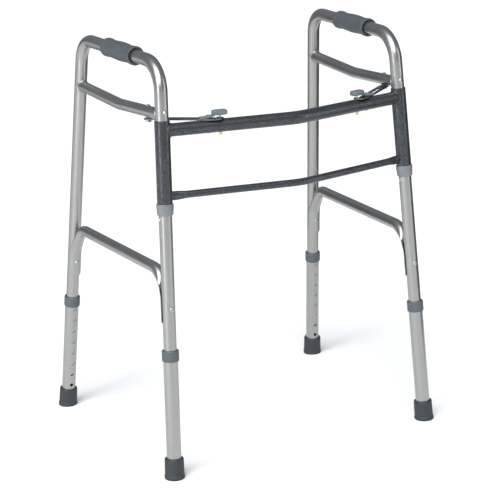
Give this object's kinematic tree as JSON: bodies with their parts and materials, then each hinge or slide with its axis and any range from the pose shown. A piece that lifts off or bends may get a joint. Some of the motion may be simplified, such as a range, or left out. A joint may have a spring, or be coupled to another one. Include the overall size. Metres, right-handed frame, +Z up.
{
  "type": "folding walking frame",
  "caption": "Folding walking frame: two aluminium side frames hinged on bowed front cross bars, with release latches and telescopic legs on rubber tips.",
  "frame": {"origin": "on the floor, at the middle of the bounding box of the open frame", "axes": "+Z up; the cross bars are at the -Y side and the open side, where the person stands, faces +Y; -X is the left side as seen from the front"},
  "size_m": [0.653, 0.5466, 0.8254],
  "materials": {
    "satin_aluminium": "satin anodised, drawn lengthwise",
    "hammered_paint": "dark grey hammered powder coat",
    "grey_plastic": "moulded, slightly glossy",
    "slate_plastic": "moulded",
    "grip_vinyl": "soft moulded vinyl",
    "tip_rubber": "moulded rubber",
    "paddle_plastic": "moulded, slightly glossy",
    "strap_steel": "dark zinc",
    "zinc_hardware": "zinc plated",
    "chrome_hardware": "bright plated",
    "brass": "turned",
    "spring_steel": "drawn wire"
  },
  "bodies": {
    "front_frame": {"left_sleeve": "hammered_paint", "right_sleeve": "hammered_paint", "upper_crossbar": "hammered_paint", "lower_crossbar": "hammered_paint", "left_sleeve_collar": "grey_plastic", "right_sleeve_collar": "grey_plastic", "left_guide_rivet": "chrome_hardware", "right_guide_rivet": "chrome_hardware", "left_plunger_spring": "spring_steel", "right_plunger_spring": "spring_steel"},
    "left_side": {"left_side_frame": "satin_aluminium", "left_upper_brace": "satin_aluminium", "left_lower_brace": "satin_aluminium", "left_brace_screws": "chrome_hardware", "left_brace_nuts": "zinc_hardware", "left_grip": "grip_vinyl", "left_sleeve_stop_pins": "chrome_hardware", "left_pivot_bolt": "zinc_hardware", "left_front_button_spring": "spring_steel", "left_rear_button_spring": "spring_steel"},
    "left_strap": {"left_latch_strap": "strap_steel", "left_pivot_nut": "zinc_hardware"},
    "left_paddle": {"left_release_paddle": "paddle_plastic"},
    "left_plunger": {"left_latch_plunger": "brass"},
    "left_front_leg": {"left_front_leg_tube": "satin_aluminium", "left_front_leg_ring": "slate_plastic", "left_front_tip": "tip_rubber", "left_front_tip_washer": "zinc_hardware"},
    "left_front_button": {"left_front_leg_button": "brass"},
    "left_rear_leg": {"left_rear_leg_tube": "satin_aluminium", "left_rear_leg_ring": "slate_plastic", "left_rear_tip": "tip_rubber", "left_rear_tip_washer": "zinc_hardware"},
    "left_rear_button": {"left_rear_leg_button": "brass"},
    "right_side": {"right_side_frame": "satin_aluminium", "right_upper_brace": "satin_aluminium", "right_lower_brace": "satin_aluminium", "right_brace_screws": "chrome_hardware", "right_brace_nuts": "zinc_hardware", "right_grip": "grip_vinyl", "right_sleeve_stop_pins": "chrome_hardware", "right_pivot_bolt": "zinc_hardware", "right_front_button_spring": "spring_steel", "right_rear_button_spring": "spring_steel"},
    "right_strap": {"right_latch_strap": "strap_steel", "right_pivot_nut": "zinc_hardware"},
    "right_paddle": {"right_release_paddle": "paddle_plastic"},
    "right_plunger": {"right_latch_plunger": "brass"},
    "right_front_leg": {"right_front_leg_tube": "satin_aluminium", "right_front_leg_ring": "slate_plastic", "right_front_tip": "tip_rubber", "right_front_tip_washer": "zinc_hardware"},
    "right_front_button": {"right_front_leg_button": "brass"},
    "right_rear_leg": {"right_rear_leg_tube": "satin_aluminium", "right_rear_leg_ring": "slate_plastic", "right_rear_tip": "tip_rubber", "right_rear_tip_washer": "zinc_hardware"},
    "right_rear_button": {"right_rear_leg_button": "brass"}
  },
  "joints": [
    {"name": "left_fold", "type": "hinge", "parent": "front_frame", "child": "left_side", "pos_m": [-0.26015, -0.20789, 0.6931], "axis": [-0.0408, -0.0534, -0.9977], "range_deg": [0, 73]},
    {"name": "left_strap_slide", "type": "slide", "parent": "front_frame", "child": "left_strap", "axis": [0.7733, -0.634, 0], "range_m": [0, 0.0646]},
    {"name": "left_paddle_hinge", "type": "hinge", "parent": "front_frame", "child": "left_paddle", "pos_m": [-0.17369, -0.22601, 0.6934], "axis": [0.1948, 0.9809, 0], "range_deg": [0, 7.6]},
    {"name": "left_plunger_slide", "type": "slide", "parent": "front_frame", "child": "left_plunger", "axis": [0, 0, -1], "range_m": [0, 0.003], "stiffness_N_per_m": 600, "springref_m": -0.001, "deforming": ["left_plunger_spring"]},
    {"name": "left_front_leg_slide", "type": "slide", "parent": "left_side", "child": "left_front_leg", "axis": [0.0408, 0.0534, 0.9977], "range_m": [-0.127, 0.0508]},
    {"name": "left_front_button_press", "type": "slide", "parent": "left_side", "child": "left_front_button", "axis": [0.0379, -0.9979, 0.0519], "range_m": [0, 0.004], "stiffness_N_per_m": 800, "springref_m": -0.002, "deforming": ["left_front_button_spring"]},
    {"name": "left_rear_leg_slide", "type": "slide", "parent": "left_side", "child": "left_rear_leg", "axis": [0.0475, -0.144, 0.9884], "range_m": [-0.127, 0.0508]},
    {"name": "left_rear_button_press", "type": "slide", "parent": "left_side", "child": "left_rear_button", "axis": [-0.0292, 0.9889, 0.1455], "range_m": [0, 0.004], "stiffness_N_per_m": 800, "springref_m": -0.002, "deforming": ["left_rear_button_spring"]},
    {"name": "right_fold", "type": "hinge", "parent": "front_frame", "child": "right_side", "pos_m": [0.26015, -0.20789, 0.6931], "axis": [-0.0408, 0.0534, 0.9977], "range_deg": [0, 90]},
    {"name": "right_strap_slide", "type": "slide", "parent": "front_frame", "child": "right_strap", "axis": [-0.7733, -0.634, 0], "range_m": [0, 0.0769]},
    {"name": "right_paddle_hinge", "type": "hinge", "parent": "front_frame", "child": "right_paddle", "pos_m": [0.17369, -0.22601, 0.6934], "axis": [0.1948, -0.9809, 0], "range_deg": [0, 7.6]},
    {"name": "right_plunger_slide", "type": "slide", "parent": "front_frame", "child": "right_plunger", "axis": [0, 0, -1], "range_m": [0, 0.003], "stiffness_N_per_m": 600, "springref_m": -0.001, "deforming": ["right_plunger_spring"]},
    {"name": "right_front_leg_slide", "type": "slide", "parent": "right_side", "child": "right_front_leg", "axis": [-0.0408, 0.0534, 0.9977], "range_m": [-0.127, 0.0508]},
    {"name": "right_front_button_press", "type": "slide", "parent": "right_side", "child": "right_front_button", "axis": [-0.0379, -0.9979, 0.0519], "range_m": [0, 0.004], "stiffness_N_per_m": 800, "springref_m": -0.002, "deforming": ["right_front_button_spring"]},
    {"name": "right_rear_leg_slide", "type": "slide", "parent": "right_side", "child": "right_rear_leg", "axis": [-0.0475, -0.144, 0.9884], "range_m": [-0.127, 0.0508]},
    {"name": "right_rear_button_press", "type": "slide", "parent": "right_side", "child": "right_rear_button", "axis": [0.0292, 0.9889, 0.1455], "range_m": [0, 0.004], "stiffness_N_per_m": 800, "springref_m": -0.002, "deforming": ["right_rear_button_spring"]}
  ],
  "couplings": [
    {"joint": "left_strap_slide", "follows": "left_fold", "m_per_rad": 0.05054},
    {"joint": "left_paddle_hinge", "follows": "left_plunger_slide", "rad_per_m": 41.667},
    {"joint": "right_strap_slide", "follows": "right_fold", "m_per_rad": 0.04882},
    {"joint": "right_paddle_hinge", "follows": "right_plunger_slide", "rad_per_m": 41.667}
  ]
}
